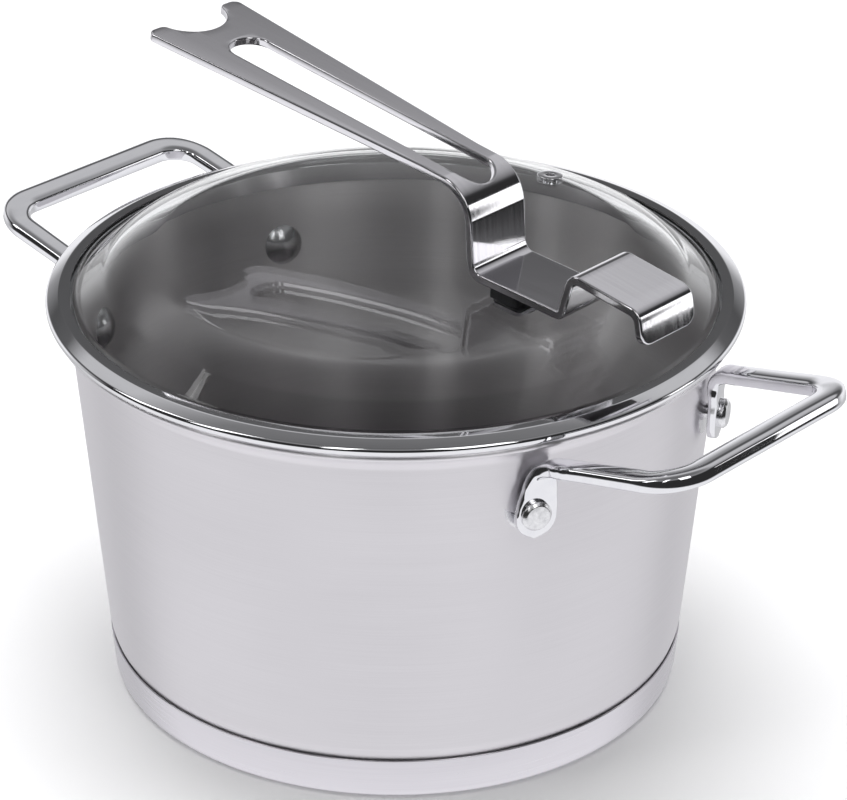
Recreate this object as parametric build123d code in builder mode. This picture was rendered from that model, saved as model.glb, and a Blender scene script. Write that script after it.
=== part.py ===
from build123d import *
import os
from math import cos, radians, sin, sqrt, tan

# Two-handled stainless cooking pot with a glass lid and a bent-strip lid handle.
# Frame: origin at the centre of the base, on the surface it stands on, +Z up,
# +X towards the front side handle and the hook end of the lid handle.
# Lengths in millimetres, angles in degrees.

os.makedirs("parts", exist_ok=True)

# Pot body, deep-drawn sheet that widens upwards
body_sheet = 0.8
wall_taper = 4.9
band_height = 14.0
band_radius = 91.4
floor_corner = 14.0
flare_height = 119.5
flare_bend = 6.0
rim_radius = 105.85
rim_bead = 1.25
rim_bead_height = 123.9
rim_lip_shift = 0.3

# Encapsulated base: an aluminium disc inside a stainless cap
cap_sheet = 0.6
cap_play = 0.2
cap_corner = 3.0
core_thickness = 5.0
core_height = 11.0

# Side handles: a flattened oval bar with a flat ear at each end, each with its own height,
# rise and reach
handles = {
    "front": {"azimuth": 0.0, "rivet_height": 101.0, "root_height": 115.4, "rise": 13.0, "reach": 141.6},
    "back": {"azimuth": 180.0, "rivet_height": 98.0, "root_height": 114.5, "rise": 12.3, "reach": 137.4},
}
bar_width = 7.4
bar_thickness = 4.4
bar_corner = 1.9
bar_bend = 12.0
handle_half_span = 40.0
root_distance = 93.6
root_spread = 1.2
ear_azimuth = 24.6
ear_distance = 100.5
ear_thickness = 3.0
ear_width = 12.8
ear_splay = 4.0
ear_tail = 1.6
ear_top = 15.4
ear_root_level = 14.4
ear_neck = 2.8
ear_neck_round = 1.8

# Rivets that hold the ears
rivet_shank = 5.0
shank_root = 1.0
rivet_dome = 13.4
rivet_dome_height = 2.8
rivet_head = 9.2
rivet_head_height = 2.4
rivet_head_edge = 0.9
seat_span = 15.0

# Lid: domed tempered glass in a folded steel ring
glass_thickness = 4.0
glass_radius = 102.3
glass_top = 145.0
dome_radius = 800.0
dome_edge = 71.0
shoulder_radius = 83.5
shoulder_bend = 30.0
flange_radius = 98.6
flange_bend = 2.5
flange_height = 128.9
ring_sheet = 0.6
ring_radius = 107.5
ring_base = 125.45
ring_lip_start = 1.6
ring_lip_end = 1.0
ring_shoulder_drop = 1.1
ring_bends = [1.5, 0.9, 0.9, 0.5, 0.35, 0.6]
skirt_inset = 3.8
skirt_lean = 0.2
skirt_height = 118.5
lid_play = 0.1

# Lid handle: one strip bent from flat bar, forked at the back, slotted along its arm
# and hooked at the front
strip_thickness = 2.7
strip_half_width = 12.1
strip_bends = [12.0, 4.5, 2.0, 3.2, 3.6]
fork_half_width = 19.4
fork_tip = -87.9
arm_slope = 8.0
arm_start = 22.0
stem_top = (38.9, 174.6)
stem_foot_x = 40.8
hook_foot_x = 75.4
hook_shoulder = (79.2, 160.1)
hook_brow = (103.7, 156.3)
hook_end = (105.4, 147.7)
slot_half_width = 7.2
slot_front = 36.4
slot_back = -67.8
notch_radius = 12.3
notch_depth = 10.6
prong_corner = 3.0
tab_corner = 4.0

# Fixing of the lid handle through the glass
fixing_position = 52.2
pad_length = 10.8
pad_width = 21.6
pad_thickness = 3.4
pad_corner = 1.5
pad_trim = 0.3
lower_pad_thickness = 0.8
plate_length = 10.8
plate_width = 18.0
plate_thickness = 1.2
boss_radius = 4.0
glass_hole_radius = 4.5
screw_radius = 2.5
screw_head_radius = 4.6
screw_head_height = 2.6
screw_head_round = 1.4
tap_clearance = 0.6

# Steam vent: an eyelet riveted into the glass
vent_position = 72.5
eyelet_tube = 3.0
eyelet_bore = 1.6
eyelet_flange = 4.2
eyelet_sheet = 0.5
eyelet_play = 0.06

cap_plane_z = cap_sheet + core_thickness
wall_slope = tan(radians(wall_taper))


def wall_radius(height):
    """Outer radius of the straight part of the wall."""
    return band_radius + (height - band_height) * wall_slope


def inner_wall_radius(height):
    """Inner radius of the wall, measured level."""
    return wall_radius(height) - body_sheet / cos(radians(wall_taper))


def dome_height(radius, top=glass_top):
    """Height of the crown of the glass at a distance from the axis."""
    return top - dome_radius + sqrt(dome_radius**2 - radius**2)


def facing_out(azimuth, distance, height):
    """Vertical plane whose normal points away from the axis, with Y upwards."""
    a = radians(azimuth)
    return Plane(
        origin=(distance * cos(a), distance * sin(a), height),
        x_dir=(-sin(a), cos(a), 0),
        z_dir=(cos(a), sin(a), 0),
    )


def on_dome(x, y):
    """Plane tangent to the top of the glass, with its normal up and its X down the slope."""
    out = sqrt(x**2 + y**2)
    lean = out / dome_radius
    level = sqrt(1 - lean**2)
    ux, uy = x / out, y / out
    return Plane(
        origin=(x, y, dome_height(out)),
        x_dir=(ux * level, uy * level, -lean),
        z_dir=(ux * lean, uy * lean, level),
    )


def save(piece, name):
    piece.part.label = name
    export_step(piece.part, f"parts/{name}.step")


rivet_sides = {"right": -1, "left": 1}
rivet_places = {
    f"{end}_{side}": (handle["azimuth"] + sign * ear_azimuth, handle["rivet_height"])
    for end, handle in handles.items()
    for side, sign in rivet_sides.items()
}

# ---------------------------------------------------------------- pot
body_corners = [
    (0, cap_plane_z),
    (wall_radius(cap_plane_z), cap_plane_z),
    (wall_radius(flare_height), flare_height),
    (rim_radius - rim_bead + rim_lip_shift, rim_bead_height - rim_lip_shift),
]

with BuildPart() as pot_body:
    with BuildSketch(Plane.XZ):
        with BuildLine():
            FilletPolyline(*body_corners, radius=[floor_corner, flare_bend])
            offset(amount=body_sheet, side=Side.LEFT)
        make_face()
        with Locations((rim_radius - rim_bead, rim_bead_height)):
            Circle(rim_bead)
    revolve(axis=Axis.Z)
    for azimuth, height in rivet_places.values():
        with BuildSketch(facing_out(azimuth, inner_wall_radius(height), height)):
            Circle(rivet_shank / 2)
        extrude(amount=4 * body_sheet, both=True, mode=Mode.SUBTRACT)
save(pot_body, "pot_body")

cap_top_radius = band_radius + cap_play
cap_corners = [(0, 0), (cap_top_radius - band_height * wall_slope, 0), (cap_top_radius, band_height)]

with BuildPart() as base_cap:
    with BuildSketch(Plane.XZ):
        with BuildLine():
            FilletPolyline(*cap_corners, radius=cap_corner)
            offset(amount=cap_sheet, side=Side.LEFT)
        make_face()
    revolve(axis=Axis.Z)
save(base_cap, "base_cap")

# The disc fills the cap up to core_height, under and around the corner of the body
core_side = cap_top_radius - cap_sheet / cos(radians(wall_taper))
with BuildPart() as base_core:
    with BuildSketch(Plane.XZ):
        with BuildLine():
            FilletPolyline(
                (0, cap_sheet),
                (core_side - (band_height - cap_sheet) * wall_slope, cap_sheet),
                (core_side - (band_height - core_height) * wall_slope, core_height),
                radius=cap_corner - cap_sheet,
            )
            Polyline(
                (core_side - (band_height - core_height) * wall_slope, core_height),
                (0, core_height),
                (0, cap_sheet),
            )
        make_face()
        with BuildLine():
            FilletPolyline(*body_corners[:3], radius=floor_corner)
            Polyline(body_corners[2], (0, flare_height), body_corners[0])
        make_face(mode=Mode.SUBTRACT)
    revolve(axis=Axis.Z)
save(base_core, "base_core")

# ---------------------------------------------------------------- side handles
root_half_span = handle_half_span + root_spread


def loop_plane(azimuth, root_height, rise):
    """Plane of a handle's loop: X outwards and rising, Y along the grip."""
    a = radians(azimuth)
    return Plane(
        origin=(root_distance * cos(a), root_distance * sin(a), root_height),
        x_dir=(cos(rise) * cos(a), cos(rise) * sin(a), sin(rise)),
        z_dir=(-sin(rise) * cos(a), -sin(rise) * sin(a), cos(rise)),
    )


for end, handle in handles.items():
    azimuth, height = handle["azimuth"], handle["rivet_height"]
    rise = radians(handle["rise"])
    plane = loop_plane(azimuth, handle["root_height"], rise)
    reach = (handle["reach"] - root_distance) / cos(rise)
    neck_height = ear_top + handle["root_height"] - height - ear_root_level
    with BuildPart() as side_handle:
        for side in rivet_sides.values():
            with BuildSketch(facing_out(azimuth + side * ear_azimuth, ear_distance, height)):
                with Locations((0, -ear_tail)):
                    Circle(ear_width / 2)
                with Locations(
                    (-side * ear_splay - ear_neck, neck_height),
                    (-side * ear_splay + ear_neck, neck_height),
                ):
                    Circle(ear_neck_round)
                make_hull()
                Circle(rivet_shank / 2, mode=Mode.SUBTRACT)
            extrude(amount=ear_thickness)
        with BuildLine(plane) as loop:
            FilletPolyline(
                (0, root_half_span),
                (reach, handle_half_span),
                (reach, -handle_half_span),
                (0, -root_half_span),
                radius=bar_bend,
            )
        start = loop.line @ 0
        heading = loop.line % 0
        with BuildSketch(Plane(origin=start, x_dir=plane.z_dir.cross(heading), z_dir=heading)):
            RectangleRounded(bar_width, bar_thickness, bar_corner)
        sweep(path=loop.wires()[0])
    save(side_handle, f"{end}_handle")

# ---------------------------------------------------------------- rivets
dome_sphere = ((rivet_dome / 2) ** 2 + rivet_dome_height**2) / (2 * rivet_dome_height)
head_plane_distance = ear_distance + ear_thickness

for place, (azimuth, height) in rivet_places.items():
    inner_wall = inner_wall_radius(height)
    with BuildPart() as rivet:
        with Locations(facing_out(azimuth, inner_wall + dome_sphere - rivet_dome_height, height)):
            Sphere(dome_sphere)
        with Locations((0, 0, height)):
            Cone(
                inner_wall_radius(height - seat_span),
                inner_wall_radius(height + seat_span),
                2 * seat_span,
                mode=Mode.INTERSECT,
            )
        with BuildSketch(facing_out(azimuth, inner_wall - shank_root, height)):
            Circle(rivet_shank / 2)
        extrude(amount=head_plane_distance - inner_wall + shank_root)
        with BuildSketch(facing_out(azimuth, head_plane_distance, height)):
            Circle(rivet_head / 2)
        extrude(amount=rivet_head_height)
        outermost = rivet.faces().sort_by_distance((0, 0, height))[-1]
        chamfer(outermost.edges(), rivet_head_edge)
    save(rivet, f"rivet_{place}")

# ---------------------------------------------------------------- lid glass and ring
fixing = on_dome(fixing_position, 0)
vent = on_dome(0, vent_position)

with BuildPart() as lid_glass:
    with BuildSketch(Plane.XZ):
        with BuildLine():
            crown_end = (dome_edge, dome_height(dome_edge))
            crown_fall = dome_edge / sqrt(dome_radius**2 - dome_edge**2)
            shoulder = (shoulder_radius, crown_end[1] - (shoulder_radius - dome_edge) * crown_fall)
            ThreePointArc((0, glass_top), (dome_edge / 2, dome_height(dome_edge / 2)), crown_end)
            FilletPolyline(
                crown_end,
                shoulder,
                (flange_radius, flange_height),
                (glass_radius, flange_height),
                radius=[shoulder_bend, flange_bend],
            )
            offset(amount=glass_thickness, side=Side.RIGHT)
        make_face()
    revolve(axis=Axis.Z)
    with BuildSketch(fixing):
        Circle(glass_hole_radius)
    extrude(amount=2 * glass_thickness, both=True, mode=Mode.SUBTRACT)
    with BuildSketch(vent):
        Circle(eyelet_tube + lid_play)
    extrude(amount=2 * glass_thickness, both=True, mode=Mode.SUBTRACT)
save(lid_glass, "lid_glass")

half_sheet = ring_sheet / 2
channel_radius = glass_radius + lid_play + half_sheet
with BuildPart() as lid_ring:
    with BuildSketch(Plane.XZ):
        with BuildLine():
            FilletPolyline(
                (flange_radius + ring_lip_start, flange_height + half_sheet),
                (glass_radius + ring_lip_end, flange_height + half_sheet),
                (ring_radius - half_sheet, flange_height - ring_shoulder_drop),
                (ring_radius - half_sheet, ring_base + half_sheet),
                (channel_radius, ring_base + half_sheet),
                (channel_radius, flange_height - glass_thickness - half_sheet),
                (channel_radius - skirt_inset, flange_height - glass_thickness - half_sheet),
                (channel_radius - skirt_inset - skirt_lean, skirt_height),
                radius=ring_bends,
            )
            offset(amount=half_sheet, side=Side.BOTH)
        make_face()
    revolve(axis=Axis.Z)
save(lid_ring, "lid_ring")

# ---------------------------------------------------------------- steam vent
eyelet_seat = vent.offset(-glass_thickness - eyelet_play)
with BuildPart() as steam_vent_eyelet:
    with BuildSketch(vent.offset(eyelet_play)):
        Circle(eyelet_flange)
    extrude(amount=eyelet_sheet)
    with BuildSketch(eyelet_seat):
        Circle(eyelet_flange)
    extrude(amount=-eyelet_sheet)
    with BuildSketch(eyelet_seat):
        Circle(eyelet_tube)
    extrude(amount=glass_thickness + 2 * eyelet_play)
    with BuildSketch(vent):
        Circle(eyelet_bore)
    extrude(amount=2 * glass_thickness, both=True, mode=Mode.SUBTRACT)
save(steam_vent_eyelet, "steam_vent_eyelet")

# ---------------------------------------------------------------- lid handle
strip_line = strip_thickness / 2 + pad_thickness
mount_level = fixing.origin + fixing.z_dir * strip_line
mount_fall = -fixing.x_dir.Z / fixing.x_dir.X


def mount_height(x):
    """Height of the strip's middle line where it lies on its pad."""
    return mount_level.Z - (x - mount_level.X) * mount_fall


strip_path = [
    (fork_tip, stem_top[1] + (stem_top[0] - fork_tip) * tan(radians(arm_slope))),
    stem_top,
    (stem_foot_x, mount_height(stem_foot_x)),
    (hook_foot_x, mount_height(hook_foot_x)),
    hook_shoulder,
    hook_brow,
    hook_end,
]
tab_low = hook_end[1] - strip_thickness / 2

with BuildPart() as lid_handle:
    with BuildSketch(Plane.XZ):
        with BuildLine():
            FilletPolyline(*strip_path, radius=strip_bends)
            offset(amount=strip_thickness / 2, side=Side.BOTH)
        make_face()
    extrude(amount=fork_half_width, both=True)
    with BuildSketch(Plane.XY) as planform:
        with BuildLine():
            Polyline(
                (ring_radius, -strip_half_width),
                (arm_start, -strip_half_width),
                (fork_tip, -fork_half_width),
                (fork_tip, fork_half_width),
                (arm_start, strip_half_width),
                (ring_radius, strip_half_width),
                close=True,
            )
        make_face()
        with Locations((fork_tip + notch_depth - notch_radius, 0)):
            Circle(notch_radius, mode=Mode.SUBTRACT)
        fillet(planform.vertices().group_by(Axis.X)[0], prong_corner)
        with Locations(((slot_front + slot_back) / 2, 0)):
            SlotOverall(slot_front - slot_back, 2 * slot_half_width, mode=Mode.SUBTRACT)
    extrude(amount=2 * glass_top, mode=Mode.INTERSECT)
    with BuildSketch(Plane.YZ.offset(ring_radius)):
        with Locations((0, tab_low + tab_corner / 2)):
            Rectangle(2 * strip_half_width, tab_corner)
        with Locations((0, tab_low + tab_corner)):
            SlotOverall(2 * strip_half_width, 2 * tab_corner, mode=Mode.SUBTRACT)
    extrude(amount=hook_shoulder[0] - ring_radius, mode=Mode.SUBTRACT)
save(lid_handle, "lid_handle")

# ---------------------------------------------------------------- fixing through the glass
with BuildPart() as handle_pad_upper:
    with BuildSketch(fixing.offset(pad_thickness)):
        RectangleRounded(pad_length, pad_width, pad_corner)
        Circle(boss_radius + lid_play, mode=Mode.SUBTRACT)
    extrude(amount=-pad_thickness - pad_trim)
    with Locations((0, 0, glass_top - dome_radius)):
        Sphere(dome_radius, mode=Mode.SUBTRACT)
save(handle_pad_upper, "handle_pad_upper")

lower_pad_face = fixing.offset(-glass_thickness - lower_pad_thickness)
with BuildPart() as handle_pad_lower:
    with BuildSketch(lower_pad_face):
        RectangleRounded(plate_length, plate_width, pad_corner)
        Circle(boss_radius + lid_play, mode=Mode.SUBTRACT)
    extrude(amount=lower_pad_thickness + pad_trim)
    with Locations((0, 0, glass_top - dome_radius)):
        Sphere(dome_radius - glass_thickness, mode=Mode.INTERSECT)
save(handle_pad_lower, "handle_pad_lower")

with BuildPart() as clamp_plate:
    with BuildSketch(lower_pad_face):
        RectangleRounded(plate_length, plate_width, pad_corner)
        Circle(screw_radius + lid_play, mode=Mode.SUBTRACT)
    extrude(amount=-plate_thickness)
save(clamp_plate, "clamp_plate")

with BuildPart() as threaded_boss:
    with BuildSketch(fixing.offset(pad_thickness)):
        Circle(boss_radius)
        Circle(screw_radius, mode=Mode.SUBTRACT)
    extrude(amount=-(pad_thickness + glass_thickness + lower_pad_thickness - tap_clearance))
save(threaded_boss, "threaded_boss")

head_face = lower_pad_face.offset(-plate_thickness)
with BuildPart() as handle_screw:
    with BuildSketch(head_face):
        Circle(screw_head_radius)
    extrude(amount=-screw_head_height)
    fillet(handle_screw.edges().sort_by(Axis.Z)[0], screw_head_round)
    with BuildSketch(head_face):
        Circle(screw_radius)
    extrude(amount=plate_thickness + lower_pad_thickness + glass_thickness + pad_thickness - tap_clearance)
save(handle_screw, "handle_screw")
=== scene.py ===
import math

import bmesh
import bpy
from mathutils import Matrix, Vector


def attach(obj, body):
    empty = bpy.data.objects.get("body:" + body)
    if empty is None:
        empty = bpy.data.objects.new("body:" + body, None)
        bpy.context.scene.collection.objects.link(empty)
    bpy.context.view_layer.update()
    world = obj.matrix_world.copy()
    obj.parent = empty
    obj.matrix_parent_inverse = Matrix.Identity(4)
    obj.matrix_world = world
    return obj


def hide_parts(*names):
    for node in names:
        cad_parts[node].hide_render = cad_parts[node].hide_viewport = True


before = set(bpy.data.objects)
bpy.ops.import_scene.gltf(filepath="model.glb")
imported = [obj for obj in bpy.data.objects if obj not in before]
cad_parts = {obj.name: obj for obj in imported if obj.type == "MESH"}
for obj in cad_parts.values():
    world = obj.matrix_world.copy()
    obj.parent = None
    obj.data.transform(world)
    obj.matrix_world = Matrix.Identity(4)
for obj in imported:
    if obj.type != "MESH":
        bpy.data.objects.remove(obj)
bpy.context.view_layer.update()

# Sizes in the dictionaries are millimetres and degrees, in the frame of the CAD model:
# the middle of the base is the origin, +Z is up, +X points at the front side handle.
mm = 0.001
zAxis = Vector((0, 0, 1))
largeTurn, smallTurn = 256, 48   # steps round the pot's parts and round the fixings


# shared mesh tools
def finishPiece(name, bm, body, replaced, sharp=35.0, thickness=0.0, offset=-1.0):
    # Makes bm, which is in millimetres, a piece on a body that stands for CAD nodes.
    bmesh.ops.remove_doubles(bm, verts=bm.verts, dist=0.002)
    bmesh.ops.recalc_face_normals(bm, faces=bm.faces)
    bmesh.ops.scale(bm, vec=(mm, mm, mm), verts=bm.verts)
    mesh = bpy.data.meshes.new(name)
    bm.to_mesh(mesh)
    bm.free()
    piece = bpy.data.objects.new(name, mesh)
    bpy.context.scene.collection.objects.link(piece)
    if thickness:
        wall = piece.modifiers.new("wall", "SOLIDIFY")
        wall.thickness = thickness * mm
        wall.offset = offset
        wall.use_even_offset = True
        applyModifiers(piece)
    mesh = piece.data
    mesh.polygons.foreach_set("use_smooth", [True] * len(mesh.polygons))
    mesh.set_sharp_from_angle(angle=math.radians(sharp))
    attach(piece, body)
    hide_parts(*replaced)
    print("made", name, len(mesh.polygons), "faces")
    return piece


def applyModifiers(piece):
    shape = bpy.data.meshes.new_from_object(piece.evaluated_get(bpy.context.evaluated_depsgraph_get()))
    piece.modifiers.clear()
    piece.data = shape


def outline(bm, corners, segments=8, closed=False):
    # A wire through corners given as (x, z) or (x, z, radius), with its corners rounded.
    places = [Vector((c[0], 0, c[1])) for c in corners]
    radii = [c[2] if len(c) > 2 else 0 for c in corners]
    verts = [bm.verts.new(p) for p in places]
    for a, b in zip(verts, verts[1:]):
        bm.edges.new((a, b))
    if closed:
        bm.edges.new((verts[-1], verts[0]))
    for i, radius in enumerate(radii):
        if radius:
            before = places[i - 1] - places[i]
            after = places[(i + 1) % len(places)] - places[i]
            turn = math.pi - before.angle(after)
            bmesh.ops.bevel(bm, geom=[verts[i]], offset=radius * math.tan(turn / 2), offset_type="OFFSET",
                            segments=segments, profile=0.5, affect="VERTICES", material=-1)


def lathe(corners, steps, segments=8, closed=False):
    # A bmesh turned about Z from an outline.
    bm = bmesh.new()
    outline(bm, corners, segments, closed)
    bmesh.ops.spin(bm, geom=bm.verts[:] + bm.edges[:], cent=(0, 0, 0), axis=zAxis,
                   angle=math.tau, steps=steps, use_merge=True)
    return bm


def facingOut(azimuth, distance, height):
    # Turns a shape made about +Z so that +Z points away from the pot's axis, and puts it in place.
    a = math.radians(azimuth)
    out = Vector((math.cos(a), math.sin(a), 0))
    across = Vector((-math.sin(a), math.cos(a), 0))
    place = Matrix((across, zAxis, out)).transposed().to_4x4()
    place.translation = out * distance + zAxis * height
    return place


# camera and studio
view = {"lens": 144.68, "eye": (642.28, -696.03, 576.64), "aim": (-14.24, 28.56, 72.70), "roll": 0.36}
lamps = {   # azimuth and elevation as seen from the pot
    "keyPanel": {"azimuth": -20, "elevation": 42, "distance": 1300, "size": (430, 800), "power": 2.2},
    "nearPanel": {"azimuth": -66, "elevation": 42, "distance": 1300, "size": (170, 800), "power": 0.9},
    "leftPanel": {"azimuth": -108, "elevation": 38, "distance": 1300, "size": (220, 800), "power": 1.3},
    "backLeftPanel": {"azimuth": -138, "elevation": 36, "distance": 1300, "size": (260, 700), "power": 1.4},
    "backRightPanel": {"azimuth": 48, "elevation": 6, "distance": 1300, "size": (260, 700), "power": 0.9},
    "floorPanel": {"azimuth": 133, "elevation": 80, "distance": 1500, "size": (1500, 1500), "power": 33},
}
unmirrored = ["floorPanel"]   # lights the floor without showing in the glass and the steel
lampAim = Vector((0, 0, 80)) * mm


def aimed(place, aim):
    return (aim - place).to_track_quat("-Z", "Y")


eye = Vector(view["eye"]) * mm
cameraData = bpy.data.cameras.new("photoCamera")
cameraData.lens = view["lens"]
camera = bpy.data.objects.new("photoCamera", cameraData)
camera.location = eye
camera.rotation_mode = "QUATERNION"
camera.rotation_quaternion = aimed(eye, Vector(view["aim"]) * mm) @ Matrix.Rotation(
    math.radians(view["roll"]), 3, "Z").to_quaternion()
bpy.context.scene.collection.objects.link(camera)
bpy.context.scene.camera = camera

for name, lamp in lamps.items():
    lampData = bpy.data.lights.new(name, "AREA")
    lampData.shape = "RECTANGLE"
    lampData.size = lamp["size"][0] * mm
    lampData.size_y = lamp["size"][1] * mm
    lampData.energy = lamp["power"]
    panel = bpy.data.objects.new(name, lampData)
    around, up = math.radians(lamp["azimuth"]), math.radians(lamp["elevation"])
    outward = Vector((math.cos(up) * math.cos(around), math.cos(up) * math.sin(around), math.sin(up)))
    panel.location = lampAim + outward * lamp["distance"] * mm
    panel.rotation_mode = "QUATERNION"
    panel.rotation_quaternion = aimed(panel.location, lampAim)
    panel.visible_camera = False
    panel.visible_glossy = name not in unmirrored
    panel.visible_transmission = name not in unmirrored
    bpy.context.scene.collection.objects.link(panel)

bpy.context.scene.view_settings.view_transform = "Standard"
print("camera and lamps in place")


# shared material tools
def newMaterial(name, colour, metallic, roughness):
    material = bpy.data.materials.new(name)
    material.use_nodes = True
    nodes = material.node_tree.nodes
    shader = nodes["Principled BSDF"]
    shader.inputs["Base Color"].default_value = (*colour, 1)
    shader.inputs["Metallic"].default_value = metallic
    shader.inputs["Roughness"].default_value = roughness
    return material, nodes, material.node_tree.links, shader


def mathNode(nodes, links, operation, a, b=0.0):
    node = nodes.new("ShaderNodeMath")
    node.operation = operation
    for socket, value in zip(node.inputs, (a, b)):
        if isinstance(value, (int, float)):
            socket.default_value = value
        else:
            links.new(value, socket)
    return node.outputs[0]


def mapRange(nodes, links, value, low, high, toLow, toHigh):
    node = nodes.new("ShaderNodeMapRange")
    links.new(value, node.inputs["Value"])
    for socket, number in zip(("From Min", "From Max", "To Min", "To Max"), (low, high, toLow, toHigh)):
        node.inputs[socket].default_value = number
    return node.outputs[0]


def mixColours(nodes, links, amount, first, second):
    node = nodes.new("ShaderNodeMix")
    node.data_type = "RGBA"
    links.new(amount, node.inputs["Factor"])
    for socket, colour in zip((node.inputs[6], node.inputs[7]), (first, second)):
        if isinstance(colour, tuple):
            socket.default_value = (*colour, 1)
        else:
            links.new(colour, socket)
    return node.outputs[2]


def noise(nodes, links, vector, scale, detail=3.0, roughness=0.55):
    node = nodes.new("ShaderNodeTexNoise")
    node.inputs["Scale"].default_value = scale
    node.inputs["Detail"].default_value = detail
    node.inputs["Roughness"].default_value = roughness
    links.new(vector, node.inputs["Vector"])
    return node.outputs["Fac"]


def objectPoint(nodes):
    return nodes.new("ShaderNodeTexCoord").outputs["Object"]


def turnedGrain(nodes, links, along, across):
    # Coordinates that change slowly round the pot, along in all, and fast up it and outwards,
    # across times a metre.
    split = nodes.new("ShaderNodeSeparateXYZ")
    links.new(objectPoint(nodes), split.inputs[0])
    level = nodes.new("ShaderNodeCombineXYZ")
    links.new(split.outputs["X"], level.inputs["X"])
    links.new(split.outputs["Y"], level.inputs["Y"])
    length = nodes.new("ShaderNodeVectorMath")
    length.operation = "LENGTH"
    links.new(level.outputs[0], length.inputs[0])
    unit = nodes.new("ShaderNodeVectorMath")
    unit.operation = "NORMALIZE"
    links.new(level.outputs[0], unit.inputs[0])
    slow = nodes.new("ShaderNodeVectorMath")
    slow.operation = "SCALE"
    slow.inputs["Scale"].default_value = along
    links.new(unit.outputs[0], slow.inputs[0])
    reach = mathNode(nodes, links, "ADD", split.outputs["Z"], length.outputs["Value"])
    fast = nodes.new("ShaderNodeCombineXYZ")
    links.new(mathNode(nodes, links, "MULTIPLY", reach, across), fast.inputs["Z"])
    both = nodes.new("ShaderNodeVectorMath")
    both.operation = "ADD"
    links.new(slow.outputs[0], both.inputs[0])
    links.new(fast.outputs[0], both.inputs[1])
    return both.outputs[0]


def stretchedPoint(nodes, links, scale):
    mapping = nodes.new("ShaderNodeMapping")
    mapping.inputs["Scale"].default_value = scale
    links.new(objectPoint(nodes), mapping.inputs["Vector"])
    return mapping.outputs[0]


def addBump(nodes, links, shader, height, strength, distance):
    bump = nodes.new("ShaderNodeBump")
    bump.inputs["Strength"].default_value = strength
    bump.inputs["Distance"].default_value = distance * mm
    links.new(height, bump.inputs["Height"])
    links.new(bump.outputs[0], shader.inputs["Normal"])


def turnedSteel(name, look):
    # Steel brushed round the pot's axis, with streaks that vary in tone, gloss and height, and, where the look
    # gives it, painted shade that darkens it towards the pot's floor.
    material, nodes, links, shader = newMaterial(name, look["bright"], 1.0, look["roughness"])
    grain = turnedGrain(nodes, links, look["along"], look["across"])
    fine = noise(nodes, links, grain, 1.0, 5.0, 0.65)
    cloud = noise(nodes, links, objectPoint(nodes), 9.0, 2.0)
    tone = mapRange(nodes, links, fine, 0.3, 0.7, 0.0, 1.0)
    colour = mixColours(nodes, links, tone, look["dark"], look["bright"])
    if "paintedFloorShade" in look:   # painted shade: the colour is darkened towards the pot's floor
        parts = nodes.new("ShaderNodeSeparateXYZ")
        links.new(objectPoint(nodes), parts.inputs[0])
        rise = mapRange(nodes, links, parts.outputs["Z"], *look["fade"], 0.0, 1.0)
        # painted shade: a dark colour mixed in low down, on the pot's floor and lower wall
        paintedShadeMix = nodes.new("ShaderNodeMixRGB")
        links.new(rise, paintedShadeMix.inputs[0])
        paintedShadeMix.inputs[1].default_value = (*look["paintedFloorShade"], 1)
        links.new(colour, paintedShadeMix.inputs[2])
        colour = paintedShadeMix.outputs[0]
    links.new(colour, shader.inputs["Base Color"])
    gloss = mapRange(nodes, links, fine, 0.3, 0.7, look["roughness"] + look["spread"],
                     look["roughness"] - look["spread"])
    drift = mapRange(nodes, links, cloud, 0.3, 0.7, -0.02, 0.02)
    links.new(mathNode(nodes, links, "ADD", gloss, drift), shader.inputs["Roughness"])
    shader.inputs["Anisotropic"].default_value = look["anisotropy"]
    shader.inputs["Anisotropic Rotation"].default_value = 0.25   # highlights run across the brushing
    tangent = nodes.new("ShaderNodeTangent")
    tangent.direction_type = "RADIAL"
    tangent.axis = "Z"
    links.new(tangent.outputs[0], shader.inputs["Tangent"])
    addBump(nodes, links, shader, fine, look["bump"], 0.02)
    return material


def polishedSteel(name, look):
    # Mirror steel with faint wipe marks and a slightly uneven surface.
    material, nodes, links, shader = newMaterial(name, look["bright"], 1.0, look["roughness"])
    wipe = noise(nodes, links, stretchedPoint(nodes, links, look["stretch"]), 1.0, 4.0, 0.6)
    cloud = noise(nodes, links, objectPoint(nodes), look["wave"], 2.0)
    tone = mapRange(nodes, links, wipe, 0.3, 0.7, 0.0, 1.0)
    links.new(mixColours(nodes, links, tone, look["dark"], look["bright"]), shader.inputs["Base Color"])
    links.new(mapRange(nodes, links, wipe, 0.3, 0.7, look["roughness"] * 1.35, look["roughness"] * 0.7),
              shader.inputs["Roughness"])
    addBump(nodes, links, shader, cloud, look["bump"], 0.05)
    return material


bodySteel = turnedSteel("bodySteel", {
    "bright": (0.89, 0.87, 0.90), "dark": (0.855, 0.835, 0.865), "roughness": 0.37, "spread": 0.02,
    "along": 2.2, "across": 3600, "anisotropy": 0.8, "bump": 0.05})
innerSteel = turnedSteel("innerSteel", {
    "bright": (0.88, 0.86, 0.87), "dark": (0.81, 0.785, 0.79), "roughness": 0.34, "spread": 0.02,
    "paintedFloorShade": (0.13, 0.115, 0.125), "fade": (0.012, 0.090),   # painted shade towards the floor; the fade is in metres above the ground
    "along": 2.0, "across": 3600, "anisotropy": 0.95, "bump": 0.04})
baseSteel = turnedSteel("baseSteel", {
    "bright": (0.79, 0.77, 0.81), "dark": (0.75, 0.73, 0.77), "roughness": 0.29, "spread": 0.03,
    "along": 2.0, "across": 3600, "anisotropy": 0.6, "bump": 0.05})
ringSteel = polishedSteel("ringSteel", {
    "bright": (0.82, 0.82, 0.84), "dark": (0.78, 0.78, 0.80), "roughness": 0.06,
    "stretch": (60, 60, 900), "wave": 30, "bump": 0.05})
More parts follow.
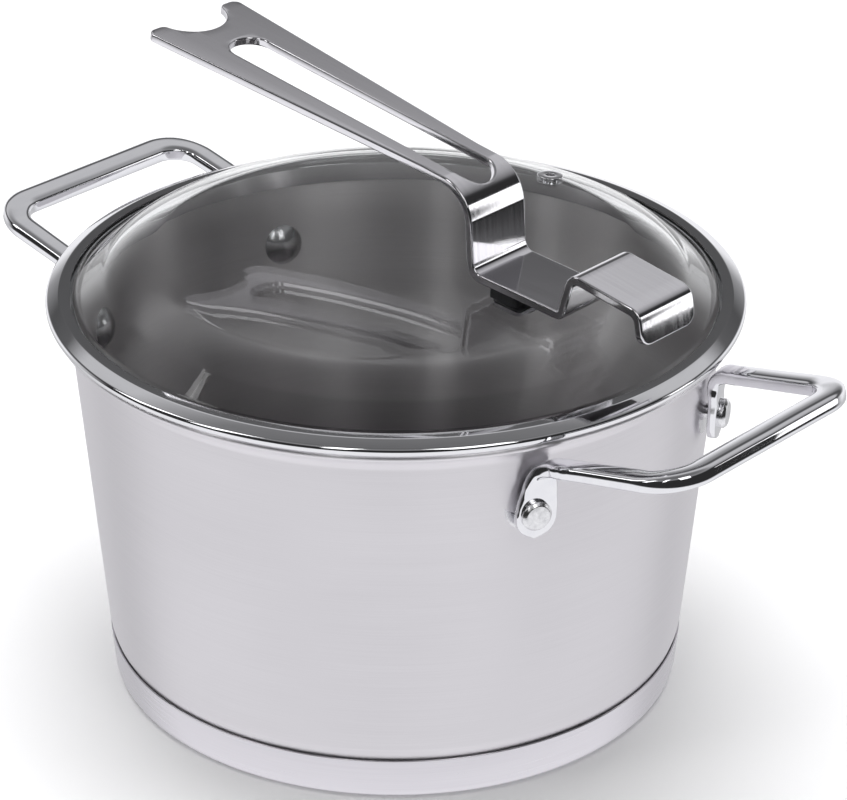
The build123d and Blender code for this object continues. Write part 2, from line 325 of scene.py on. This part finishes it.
handleSteel = polishedSteel("handleSteel", {
    "bright": (0.82, 0.82, 0.84), "dark": (0.78, 0.78, 0.81), "roughness": 0.06,
    "stretch": (260, 90, 260), "wave": 55, "bump": 0.25})
rivetSteel = polishedSteel("rivetSteel", {
    "bright": (0.84, 0.84, 0.85), "dark": (0.70, 0.70, 0.72), "roughness": 0.20,
    "stretch": (500, 500, 500), "wave": 200, "bump": 0.15})
stripSteel = polishedSteel("stripSteel", {
    "bright": (0.80, 0.79, 0.82), "dark": (0.77, 0.76, 0.79), "roughness": 0.07,
    "stretch": (25, 900, 25), "wave": 40, "bump": 0.10})
fixingSteel = polishedSteel("fixingSteel", {
    "bright": (0.75, 0.75, 0.77), "dark": (0.60, 0.60, 0.63), "roughness": 0.18,
    "stretch": (600, 600, 600), "wave": 200, "bump": 0.15})
coreAluminium = polishedSteel("coreAluminium", {
    "bright": (0.80, 0.80, 0.81), "dark": (0.70, 0.70, 0.71), "roughness": 0.45,
    "stretch": (200, 200, 200), "wave": 90, "bump": 0.3})


def rubberMaterial():
    material, nodes, links, shader = newMaterial("padRubber", (0.02, 0.02, 0.022), 0.0, 0.55)
    speck = noise(nodes, links, objectPoint(nodes), 900.0, 3.0)
    links.new(mixColours(nodes, links, speck, (0.012, 0.012, 0.014), (0.035, 0.035, 0.038)),
              shader.inputs["Base Color"])
    links.new(mapRange(nodes, links, speck, 0.3, 0.7, 0.45, 0.65), shader.inputs["Roughness"])
    addBump(nodes, links, shader, speck, 0.3, 0.05)
    return material


def glassMaterial():
    # Clear glass that lets the lamps through to what is under it.
    material, nodes, links, shader = newMaterial("clearGlass", (0.985, 0.995, 0.995), 0.0, 0.0)
    shader.inputs["Transmission Weight"].default_value = 1.0
    shader.inputs["IOR"].default_value = 1.5
    shader.inputs["Specular IOR Level"].default_value = 0.12   # weak, so that the lamps show less
    smear = noise(nodes, links, objectPoint(nodes), 35.0, 4.0)
    links.new(mapRange(nodes, links, smear, 0.55, 0.8, 0.0, 0.012), shader.inputs["Roughness"])
    clear = nodes.new("ShaderNodeBsdfTransparent")
    path = nodes.new("ShaderNodeLightPath")
    mix = nodes.new("ShaderNodeMixShader")
    links.new(path.outputs["Is Shadow Ray"], mix.inputs[0])
    links.new(shader.outputs[0], mix.inputs[1])
    links.new(clear.outputs[0], mix.inputs[2])
    links.new(mix.outputs[0], nodes["Material Output"].inputs["Surface"])
    return material


def floorMaterial():
    material, nodes, links, shader = newMaterial("paleFloor", (0.93, 0.93, 0.935), 0.0, 0.6)
    cloud = noise(nodes, links, objectPoint(nodes), 3.0, 2.0)
    links.new(mixColours(nodes, links, cloud, (0.925, 0.925, 0.93), (0.94, 0.94, 0.945)),
              shader.inputs["Base Color"])
    return material


padRubber = rubberMaterial()
clearGlass = glassMaterial()
paleFloor = floorMaterial()
print("materials made")


def dress(piece, *finishes):
    piece.data.materials.clear()
    for material in finishes:
        piece.data.materials.append(material)


# studio floor and sky
floor = {"halfSize": 9000, "drop": 0.05}
bm = bmesh.new()
bmesh.ops.create_grid(bm, x_segments=2, y_segments=2, size=floor["halfSize"] * mm,
                      matrix=Matrix.Translation((0, 0, -floor["drop"] * mm)))
mesh = bpy.data.meshes.new("studioFloor")
bm.to_mesh(mesh)
bm.free()
studioFloor = bpy.data.objects.new("studioFloor", mesh)
bpy.context.scene.collection.objects.link(studioFloor)
studioFloor.visible_glossy = False   # steel and glass mirror the sky's lower half in its place
dress(studioFloor, paleFloor)

# the sky's stops are (height from 0 straight down to 1 straight up, level)
sky = {"front": [(0.0, 1.0), (0.31, 1.0), (0.34, 0.03), (0.77, 0.03), (0.86, 0.30), (1.0, 0.14)],
       "back": [(0.0, 0.62), (0.31, 0.62), (0.40, 1.0), (0.56, 1.0), (0.62, 0.35), (0.69, 0.09),
                (0.75, 0.12), (0.79, 0.60), (0.86, 0.58), (0.93, 0.22), (1.0, 0.16)],
       "backdrop": (-0.671, 0.741, 0), "edge": (0.15, 0.55), "blue": 1.02, "strength": 1.0}
world = bpy.data.worlds.new("studioSky")
bpy.context.scene.world = world
world.use_nodes = True
skyNodes, skyLinks = world.node_tree.nodes, world.node_tree.links
direction = skyNodes.new("ShaderNodeTexCoord")
parts = skyNodes.new("ShaderNodeSeparateXYZ")
skyLinks.new(direction.outputs["Generated"], parts.inputs[0])
rise = mapRange(skyNodes, skyLinks, parts.outputs["Z"], -1, 1, 0, 1)


def skyRamp(stops):
    ramp = skyNodes.new("ShaderNodeValToRGB")
    for position, level in stops[1:-1]:
        ramp.color_ramp.elements.new(position)
    for element, (position, level) in zip(ramp.color_ramp.elements, stops):
        element.position = position
        element.color = (level, level, level * sky["blue"], 1)
    skyLinks.new(rise, ramp.inputs[0])
    return ramp.outputs[0]


behind = skyNodes.new("ShaderNodeVectorMath")   # the bright backdrop is behind the pot only
behind.operation = "DOT_PRODUCT"
skyLinks.new(direction.outputs["Generated"], behind.inputs[0])
behind.inputs[1].default_value = sky["backdrop"]
share = mapRange(skyNodes, skyLinks, behind.outputs["Value"], *sky["edge"], 0, 1)
blend = skyNodes.new("ShaderNodeMixRGB")
skyLinks.new(share, blend.inputs[0])
skyLinks.new(skyRamp(sky["front"]), blend.inputs[1])
skyLinks.new(skyRamp(sky["back"]), blend.inputs[2])
background = skyNodes["Background"]
rayKind = skyNodes.new("ShaderNodeLightPath")   # the camera itself sees a plain white sky
plain = skyNodes.new("ShaderNodeMixRGB")
skyLinks.new(rayKind.outputs["Is Camera Ray"], plain.inputs[0])
skyLinks.new(blend.outputs[0], plain.inputs[1])
plain.inputs[2].default_value = (1, 1, 1, 1)
skyLinks.new(plain.outputs[0], background.inputs["Color"])
background.inputs["Strength"].default_value = sky["strength"]
print("studio made")


# pot body: one drawn sheet with a rolled bead at its rim
wall = {"slope": 4.9, "bandHeight": 14.0, "bandRadius": 91.4, "sheet": 0.8, "floor": 5.6, "corner": 14.0,
        "flare": 119.5, "flareBend": 6.0, "rim": 105.85, "rimTop": 125.15, "bead": 2.5, "beadBend": 1.22}


def wallRadius(height):
    return wall["bandRadius"] + (height - wall["bandHeight"]) * math.tan(math.radians(wall["slope"]))


beadLow = wall["rimTop"] - wall["bead"]
beadIn = wall["rim"] - wall["bead"]
innerFloor = wall["floor"] + wall["sheet"]
bodyOutline = [
    (0, wall["floor"]),
    (wallRadius(wall["floor"]), wall["floor"], wall["corner"]),
    (wallRadius(wall["flare"]), wall["flare"], wall["flareBend"]),
    (beadIn + 0.35, beadLow + 0.1, 0.4),
    (wall["rim"], beadLow, wall["beadBend"]),
    (wall["rim"], wall["rimTop"], wall["beadBend"]),
    (beadIn, wall["rimTop"], wall["beadBend"]),
    (beadIn, beadLow + 0.9, 0.4),
    (wallRadius(wall["flare"]) - wall["sheet"], wall["flare"] + 0.35, wall["flareBend"] - wall["sheet"]),
    (wallRadius(innerFloor) - wall["sheet"], innerFloor, wall["corner"] - wall["sheet"]),
    (0, innerFloor),
]
liningTop = 0.1   # metres; faces that look up above this belong to the rim
potBody = finishPiece("potBody", lathe(bodyOutline, largeTurn, 10), "pot", ["pot_body"])
dress(potBody, bodySteel, innerSteel)
for face in potBody.data.polygons:   # inside faces look at the axis or up from the floor
    level = Vector((face.center.x, face.center.y, 0))
    facesAxis = face.normal.dot(level.normalized()) < -0.05
    facesUp = face.normal.z > 0.5 and face.center.z < liningTop
    face.material_index = int(facesAxis or facesUp)

# base cap: a pressed cup whose edge stands a hair off the wall, so that a dark groove shows
cap = {"radius": 91.6, "sheet": 0.6, "corner": 3.0, "edge": 0.25}
capSlope = math.tan(math.radians(wall["slope"]))
capFoot = cap["radius"] - wall["bandHeight"] * capSlope
capOutline = [
    (0, 0),
    (capFoot, 0, cap["corner"]),
    (cap["radius"], wall["bandHeight"], cap["edge"]),
    (cap["radius"] - cap["sheet"], wall["bandHeight"], cap["edge"]),
    (capFoot - cap["sheet"], cap["sheet"], cap["corner"] - cap["sheet"]),
    (0, cap["sheet"]),
]
baseCap = finishPiece("baseCap", lathe(capOutline, largeTurn), "pot", ["base_cap"])
dress(baseCap, baseSteel)
dress(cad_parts["base_core"], coreAluminium)

# rivets: a dome inside the pot, a chamfered head on the ear
rivet = {"azimuth": 24.6, "dome": 6.7, "domeHeight": 2.8, "seat": 0.6, "shank": 2.5, "head": 4.6,
         "headHeight": 2.4, "headEdge": 0.9, "earFace": 103.5,
         "heights": {"front": 101.0, "back": 98.0}, "turns": {"front": 0.0, "back": 180.0}}
domeSphere = (rivet["dome"] ** 2 + rivet["domeHeight"] ** 2) / (2 * rivet["domeHeight"])
seatRadius = math.sqrt(domeSphere ** 2 - (domeSphere - rivet["domeHeight"] - rivet["seat"]) ** 2)


def rivetMesh(height):
    # A rivet about +Z with its inner wall plane at zero.
    innerWall = wallRadius(height) - wall["sheet"] / math.cos(math.radians(wall["slope"]))
    headFace = rivet["earFace"] - innerWall
    domeTurns = [math.pi - i * math.asin(seatRadius / domeSphere) / 10 for i in range(11)]
    domeCentre = domeSphere - rivet["domeHeight"]
    corners = [(domeSphere * math.sin(t), domeCentre + domeSphere * math.cos(t)) for t in domeTurns]
    corners[0] = (0, -rivet["domeHeight"])
    corners += [
        (rivet["shank"], rivet["seat"]),
        (rivet["shank"], headFace),
        (rivet["head"], headFace, 0.15),
        (rivet["head"], headFace + rivet["headHeight"] - rivet["headEdge"], 0.4),
        (rivet["head"] - rivet["headEdge"], headFace + rivet["headHeight"], 0.4),
        (0, headFace + rivet["headHeight"]),
    ]
    return lathe(corners, smallTurn, 4), innerWall


for end, height in rivet["heights"].items():
    for side, sign in (("Right", -1), ("Left", 1)):
        bm, innerWall = rivetMesh(height)
        azimuth = rivet["turns"][end] + sign * rivet["azimuth"]
        bmesh.ops.transform(bm, matrix=facingOut(azimuth, innerWall, height), verts=bm.verts)
        node = f"rivet_{end}_{side.lower()}"
        piece = finishPiece(f"{end}{side}Rivet", bm, "pot", [node])
        dress(piece, rivetSteel)

# side handles: a flattened bar that ends in flat ears
bar = {"rootDistance": 93.6, "halfSpan": 40.0, "bend": 12.0, "earBend": 6.0, "earMiddle": 102.0,
       "earLow": 8.0, "neckOut": 94.3, "neckSide": 40.3, "neckRise": 0.2, "step": 1.1, "around": 32,
       "twist": {"from": 14.0, "over": 16.0, "to": 34.0},
       "front": {"turn": 0.0, "rivet": 101.0, "root": 115.4, "rise": 13.0, "reach": 141.6},
       "back": {"turn": 180.0, "rivet": 98.0, "root": 114.5, "rise": 12.3, "reach": 137.4},
       # along the bar from the tip of an ear: (length, width, thickness, squareness)
       "sections": [(0, 1.2, 2.6, 2.6), (0.7, 5.4, 3.0, 4), (2.0, 9.2, 3.0, 6), (4.0, 11.9, 3.0, 6),
                    (6.4, 12.8, 3.0, 6), (9.0, 12.4, 3.0, 6), (16.0, 10.6, 3.1, 5), (21.0, 8.8, 3.9, 4),
                    (26.0, 7.6, 4.8, 3.4), (30.0, 8.0, 4.6, 3.6), (38.0, 7.7, 4.7, 3.8), (58.0, 8.0, 4.9, 3.8),
                    (68.0, 8.9, 5.5, 3.6), (90.0, 8.9, 5.6, 3.4), (112.0, 9.1, 5.5, 3.4)],
       "ripple": {"from": 23.0, "to": 35.0, "height": 0.22, "period": 3.4}}


def roundedRoute(corners, radii, step):
    # Points at even steps along runs joined by arcs, with the heading at each.
    route = []
    start = corners[0]
    for i in range(1, len(corners)):
        last = i == len(corners) - 1
        heading = (corners[i] - corners[i - 1]).normalized()
        if last:
            stop, radius = corners[i], 0
        else:
            leaving = (corners[i + 1] - corners[i]).normalized()
            turn = heading.angle(leaving)
            radius = radii[i - 1]
            stop = corners[i] - heading * radius * math.tan(turn / 2)
        count = max(2, round((stop - start).length / step))
        route += [(start.lerp(stop, k / count), heading) for k in range(count + last)]
        if not last:
            axis = heading.cross(leaving).normalized()
            centre = stop + axis.cross(heading) * radius
            count = max(4, round(radius * turn / step))
            for k in range(count):
                spin = Matrix.Rotation(turn * k / count, 3, axis)
                route.append((centre + spin @ (stop - centre), spin @ heading))
            start = centre + Matrix.Rotation(turn, 3, axis) @ (stop - centre)
    return route


def sectionAt(length):
    # Width, thickness and squareness of the bar at a length from the nearer ear tip.
    stops = bar["sections"]
    for low, high in zip(stops, stops[1:]):
        if length <= high[0]:
            share = (length - low[0]) / (high[0] - low[0])
            share = share * share * (3 - 2 * share) if low[0] > 6 else share
            return [a + (b - a) * share for a, b in zip(low[1:], high[1:])]
    return list(stops[-1][1:])


def sideHandle(end):
    own = bar[end]
    rise = math.radians(own["rise"])
    normal = Vector((-math.sin(rise), 0, math.cos(rise)))
    grip = Vector((own["reach"], 0, own["root"] + (own["reach"] - bar["rootDistance"]) * math.tan(rise)))
    lean = math.radians(rivet["azimuth"])
    outwards = Vector((math.cos(lean), math.sin(lean), 0))
    half = [
        outwards * bar["earMiddle"] + zAxis * (own["rivet"] - bar["earLow"]),
        Vector((bar["neckOut"], bar["neckSide"], own["root"] + bar["neckRise"])),
        grip + Vector((0, bar["halfSpan"], 0)),
    ]
    corners = [Vector((c.x, -c.y, c.z)) for c in half] + half[::-1]
    route = roundedRoute(corners, [bar["earBend"], bar["bend"], bar["bend"], bar["earBend"]], bar["step"])
    lengths = [0.0]
    for (a, _), (b, _) in zip(route, route[1:]):
        lengths.append(lengths[-1] + (b - a).length)
    total = lengths[-1]
    ripple, twist = bar["ripple"], bar["twist"]
    bm = bmesh.new()
    ring = bmesh.ops.create_circle(bm, segments=bar["around"], radius=1, cap_ends=False)["verts"]
    angles = [math.atan2(v.co.y, v.co.x) for v in ring]
    capEnd(bm, ring)
    for i, ((point, heading), length) in enumerate(zip(route, lengths)):
        near = min(length, total - length)
        side = -1 if length < total / 2 else 1
        width, thickness, square = sectionAt(near)
        if ripple["from"] < near < ripple["to"]:
            swell = math.sin(math.pi * (near - ripple["from"]) / (ripple["to"] - ripple["from"]))
            width += ripple["height"] * swell * math.sin(math.tau * near / ripple["period"])
            thickness += ripple["height"] * swell * math.cos(math.tau * near / ripple["period"] * 0.8)
        flat = normal.cross(heading)
        ear = Vector((math.sin(lean), -side * math.cos(lean), 0))
        share = min(1, max(0, (near - twist["from"]) / twist["over"]))
        across = ear.lerp(Vector((0, -side, 0)), share) if near < twist["to"] else flat
        across = (across - heading * across.dot(heading)).normalized()
        up = heading.cross(across)
        if i:
            rim = [e for e in bm.edges if e.is_boundary]
            made = bmesh.ops.extrude_edge_only(bm, edges=rim)["geom"]
            fresh = [g for g in made if isinstance(g, bmesh.types.BMVert)]
            ring = sortRing(ring, fresh)
        for v, angle in zip(ring, angles):
            c, s = math.cos(angle), math.sin(angle)
            x = math.copysign(abs(c) ** (2 / square), c) * width / 2
            y = math.copysign(abs(s) ** (2 / square), s) * thickness / 2
            v.co = point + across * x + up * y
    capEnd(bm, ring)
    halfTurn = Matrix.Rotation(math.radians(own["turn"]), 3, "Z")
    bmesh.ops.rotate(bm, cent=(0, 0, 0), matrix=halfTurn, verts=bm.verts)
    piece = finishPiece(f"{end}Handle", bm, "pot", [f"{end}_handle"], sharp=50)
    dress(piece, handleSteel)


def sortRing(old, fresh):
    # The new vertex that each old one was extruded to, in the old order.
    fresh = set(fresh)
    return [next(e.other_vert(v) for e in v.link_edges if e.other_vert(v) in fresh) for v in old]


def capEnd(bm, ring):
    bmesh.ops.contextual_create(bm, geom=ring)


for end in ("front", "back"):
    sideHandle(end)

# lid glass: a shallow dome with a steep shoulder
glass = {"top": 145.0, "sphere": 800.0, "crownEdge": 71.0, "shoulder": 83.5, "shoulderBend": 30.0,
         "flange": 98.6, "flangeBend": 2.5, "flangeTop": 128.9, "radius": 102.3, "thickness": 4.0}


def crownHeight(radius):
    return glass["top"] - glass["sphere"] + math.sqrt(glass["sphere"] ** 2 - radius ** 2)


crown = [(r, crownHeight(r)) for r in [glass["crownEdge"] * i / 12 for i in range(13)]]
crownFall = glass["crownEdge"] / math.sqrt(glass["sphere"] ** 2 - glass["crownEdge"] ** 2)
shoulderHeight = crown[-1][1] - (glass["shoulder"] - glass["crownEdge"]) * crownFall
glassOutline = crown + [
    (glass["shoulder"], shoulderHeight, glass["shoulderBend"]),
    (glass["flange"], glass["flangeTop"], glass["flangeBend"]),
    (glass["radius"], glass["flangeTop"]),
]
bm = lathe(glassOutline, largeTurn, 12)
lidGlass = finishPiece("lidGlass", bm, "lid", ["lid_glass"], sharp=40,
                       thickness=glass["thickness"])
dress(lidGlass, clearGlass)

# lid ring: a folded band that holds the glass and drops a skirt into the pot
ring = {"sheet": 0.6, "radius": 107.2, "low": 125.75, "lipStart": 100.2, "lipTop": 129.2, "lipEnd": 103.3,
        "shoulder": 127.8, "channel": 102.7, "channelTop": 124.6, "skirt": 98.9, "skirtFoot": 118.5}
ringOutline = [
    (ring["lipStart"], ring["lipTop"]),
    (ring["lipEnd"], ring["lipTop"], 1.5),
    (ring["radius"], ring["shoulder"], 0.9),
    (ring["radius"], ring["low"], 0.9),
    (ring["channel"], ring["low"], 0.5),
    (ring["channel"], ring["channelTop"], 0.35),
    (ring["skirt"], ring["channelTop"], 0.6),
    (ring["skirt"] - 0.2, ring["skirtFoot"]),
]
bm = lathe(ringOutline, largeTurn, 6)
lidRing = finishPiece("lidRing", bm, "lid", ["lid_ring"], thickness=ring["sheet"], offset=0.0)
dress(lidRing, ringSteel)

# lid handle: a blank cut from flat bar, bent along its route
strip = {
    "thickness": 2.7, "edge": 0.55, "halfWidth": 12.1, "forkHalfWidth": 19.4, "armStart": 22.0,
    "prong": 3.0, "tab": 4.0, "notchRadius": 12.3, "notchDepth": 10.6,
    "slotHalfWidth": 7.2, "slotBack": -67.8, "slotBend": 7.3,
    "slope": 8.0, "tip": -87.9,
    "stemTop": (38.9, 174.6), "stemFoot": 40.8, "hookFoot": 75.4,
    "hookShoulder": (79.2, 160.1), "hookBrow": (103.7, 156.3), "hookEnd": (105.4, 146.6),
    "bends": [12.0, 4.5, 2.0, 3.2, 3.6],
}
fixing = {"position": 52.2, "pad": 3.4, "plate": 1.2, "lowerPad": 0.8, "shank": 2.5, "shankShort": 0.6,
          "screwHead": 4.6, "screwHeadHeight": 2.6, "headEdge": 1.0, "headDome": 1.6, "recess": 1.3}
fixingTilt = math.asin(fixing["position"] / glass["sphere"])
fixingPoint = Vector((fixing["position"], 0, crownHeight(fixing["position"])))
fixingUp = Vector((math.sin(fixingTilt), 0, math.cos(fixingTilt)))
mount = fixingPoint + fixingUp * (fixing["pad"] + strip["thickness"] / 2)


def mountHeight(x):
    return mount.z - (x - mount.x) * math.tan(fixingTilt)


slope = math.radians(strip["slope"])
stripCorners = [
    (strip["tip"], strip["stemTop"][1] + (strip["stemTop"][0] - strip["tip"]) * math.tan(slope)),
    strip["stemTop"],
    (strip["stemFoot"], mountHeight(strip["stemFoot"])),
    (strip["hookFoot"], mountHeight(strip["hookFoot"])),
    strip["hookShoulder"],
    strip["hookBrow"],
    strip["hookEnd"],
]
stripRoute = roundedRoute([Vector((x, 0, z)) for x, z in stripCorners], strip["bends"], 0.6)
stripLengths = [0.0]
for (a, _), (b, _) in zip(stripRoute, stripRoute[1:]):
    stripLengths.append(stripLengths[-1] + (b - a).length)


def arcPoints(centre, radius, first, last, count=10):
    turns = [math.radians(first + (last - first) * k / count) for k in range(count + 1)]
    return [(centre[0] + radius * math.cos(t), centre[1] + radius * math.sin(t)) for t in turns]


def stripBlank():
    # The flat blank as a filled curve with rounded edges: x along the strip, y across it.
    edge = strip["edge"]
    armLength = (strip["armStart"] - strip["tip"]) / math.cos(slope)
    endLength = stripLengths[-1]
    wide, narrow, prong, tab = strip["forkHalfWidth"], strip["halfWidth"], strip["prong"], strip["tab"]
    notchCentre = (strip["notchDepth"] - strip["notchRadius"], 0)
    notchEdge = math.degrees(math.acos((prong * 0.9 - notchCentre[0]) / strip["notchRadius"]))
    notchSide = strip["notchRadius"] * math.sin(math.radians(notchEdge))
    innerProng = notchSide + prong * 0.95
    outer = (arcPoints(notchCentre, strip["notchRadius"], -notchEdge, notchEdge, 24)
             + arcPoints((prong, innerProng), prong, 235, 180, 6)
             + arcPoints((prong, wide - prong), prong, 180, 97, 8)
             + [(armLength, narrow)]
             + arcPoints((endLength - tab, narrow - tab), tab, 90, 0, 8)
             + arcPoints((endLength - tab, tab - narrow), tab, 0, -90, 8)
             + [(armLength, -narrow)]
             + arcPoints((prong, prong - wide), prong, -97, -180, 8)
             + arcPoints((prong, -innerProng), prong, -180, -235, 6))
    slotRadius = strip["slotHalfWidth"]
    slotStart = (strip["slotBack"] - strip["tip"]) / math.cos(slope)
    slotEnd = stripBendStart() + strip["slotBend"]
    slot = (arcPoints((slotStart + slotRadius, 0), slotRadius, 90, 270, 20)
            + arcPoints((slotEnd - slotRadius, 0), slotRadius, -90, 90, 20))
    curve = bpy.data.curves.new("stripBlank", "CURVE")
    curve.dimensions = "2D"
    curve.fill_mode = "BOTH"
    curve.extrude = strip["thickness"] / 2 - edge
    curve.bevel_depth = edge
    curve.bevel_resolution = 3
    curve.offset = -edge
    for points in (outer, slot):
        spline = curve.splines.new("POLY")
        spline.points.add(len(points) - 1)
        spline.points.foreach_set("co", [c for x, y in points for c in (x, y, 0, 1)])
        spline.use_cyclic_u = True
    holder = bpy.data.objects.new("stripBlank", curve)
    bpy.context.scene.collection.objects.link(holder)
    shape = bpy.data.meshes.new_from_object(holder.evaluated_get(bpy.context.evaluated_depsgraph_get()))
    bpy.data.objects.remove(holder)
    bm = bmesh.new()
    bm.from_mesh(shape)
    return bm


def stripBendStart():
    # Length from the fork's tip to where the arm starts to bend down into the stem.
    along = Vector((math.cos(slope), 0, -math.sin(slope)))
    down = Vector((strip["stemFoot"] - strip["stemTop"][0], 0,
                   mountHeight(strip["stemFoot"]) - strip["stemTop"][1])).normalized()
    return ((strip["stemTop"][0] - strip["tip"]) / math.cos(slope)
            - strip["bends"][0] * math.tan(along.angle(down) / 2))


bm = stripBlank()
bmesh.ops.remove_doubles(bm, verts=bm.verts, dist=0.005)
headings = [h for _, h in stripRoute]
for i in range(1, len(stripRoute) - 1):
    bending = headings[i].angle(headings[i - 1]) > 1e-4 or headings[i].angle(headings[i + 1]) > 1e-4
    if bending or i % 8 == 0:
        bmesh.ops.bisect_plane(bm, geom=bm.verts[:] + bm.edges[:] + bm.faces[:], dist=1e-4,
                               plane_co=(stripLengths[i], 0, 0), plane_no=(1, 0, 0))
for v in bm.verts:
    i = max(k for k, length in enumerate(stripLengths) if length <= max(v.co.x, 0) + 1e-6)
    i = min(i, len(stripRoute) - 2)
    share = (v.co.x - stripLengths[i]) / (stripLengths[i + 1] - stripLengths[i])
    point = stripRoute[i][0].lerp(stripRoute[i + 1][0], share)
    heading = stripRoute[i][1].lerp(stripRoute[i + 1][1], min(1, max(0, share))).normalized()
    lift = Vector((-heading.z, 0, heading.x))
    v.co = point + lift * v.co.z + Vector((0, v.co.y, 0))
lidHandle = finishPiece("lidHandle", bm, "lid", ["lid_handle"], sharp=60)
level = lidHandle.modifiers.new("evenShading", "WEIGHTED_NORMAL")
level.keep_sharp = True
applyModifiers(lidHandle)
dress(lidHandle, stripSteel)

# fixing through the glass, and the steam vent
def onCrown(x, y):
    # Puts a shape made about +Z on the top of the glass, square to it.
    up = Vector((x, y, math.sqrt(glass["sphere"] ** 2 - x * x - y * y))).normalized()
    place = zAxis.rotation_difference(up).to_matrix().to_4x4()
    place.translation = Vector((x, y, crownHeight(math.hypot(x, y))))
    return place


for node, material in (("handle_pad_upper", padRubber), ("handle_pad_lower", padRubber),
                       ("clamp_plate", fixingSteel), ("threaded_boss", fixingSteel)):
    dress(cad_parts[node], material)

headFace = -glass["thickness"] - fixing["lowerPad"] - fixing["plate"]
shankTop = fixing["pad"] - fixing["shankShort"]
headBottom = headFace - fixing["screwHeadHeight"]
recessFloor = headFace - fixing["headEdge"]
screwOutline = [
    (0, shankTop),
    (fixing["shank"], shankTop, 0.3),
    (fixing["shank"], headFace),
    (fixing["screwHead"], headFace, 0.3),
    (fixing["screwHead"], recessFloor, 0.6),
    (fixing["screwHead"] - fixing["headDome"], headBottom, fixing["headDome"]),
    (fixing["recess"] + 0.2, headBottom, 0.2),
    (fixing["recess"], recessFloor),
    (0, recessFloor),
]
bm = lathe(screwOutline, smallTurn, 6)
bmesh.ops.transform(bm, matrix=onCrown(fixing["position"], 0), verts=bm.verts)
handleScrew = finishPiece("handleScrew", bm, "lid", ["handle_screw"])
dress(handleScrew, fixingSteel)

vent = {"position": 72.5, "bore": 1.6, "tube": 3.0, "flange": 4.2, "play": 0.06, "sheet": 0.5}
ventOutline = [
    (vent["bore"], vent["play"] + vent["sheet"], 0.2),
    (vent["flange"], vent["play"] + vent["sheet"], 0.3),
    (vent["flange"], vent["play"], 0.15),
    (vent["tube"], vent["play"]),
    (vent["tube"], -glass["thickness"] - vent["play"]),
    (vent["flange"], -glass["thickness"] - vent["play"], 0.15),
    (vent["flange"], -glass["thickness"] - vent["play"] - vent["sheet"], 0.3),
    (vent["bore"], -glass["thickness"] - vent["play"] - vent["sheet"], 0.2),
]
bm = lathe(ventOutline, smallTurn, 4, closed=True)
bmesh.ops.transform(bm, matrix=onCrown(0, vent["position"]), verts=bm.verts)
ventEyelet = finishPiece("ventEyelet", bm, "lid", ["steam_vent_eyelet"])
dress(ventEyelet, ringSteel)
print("pieces finished")
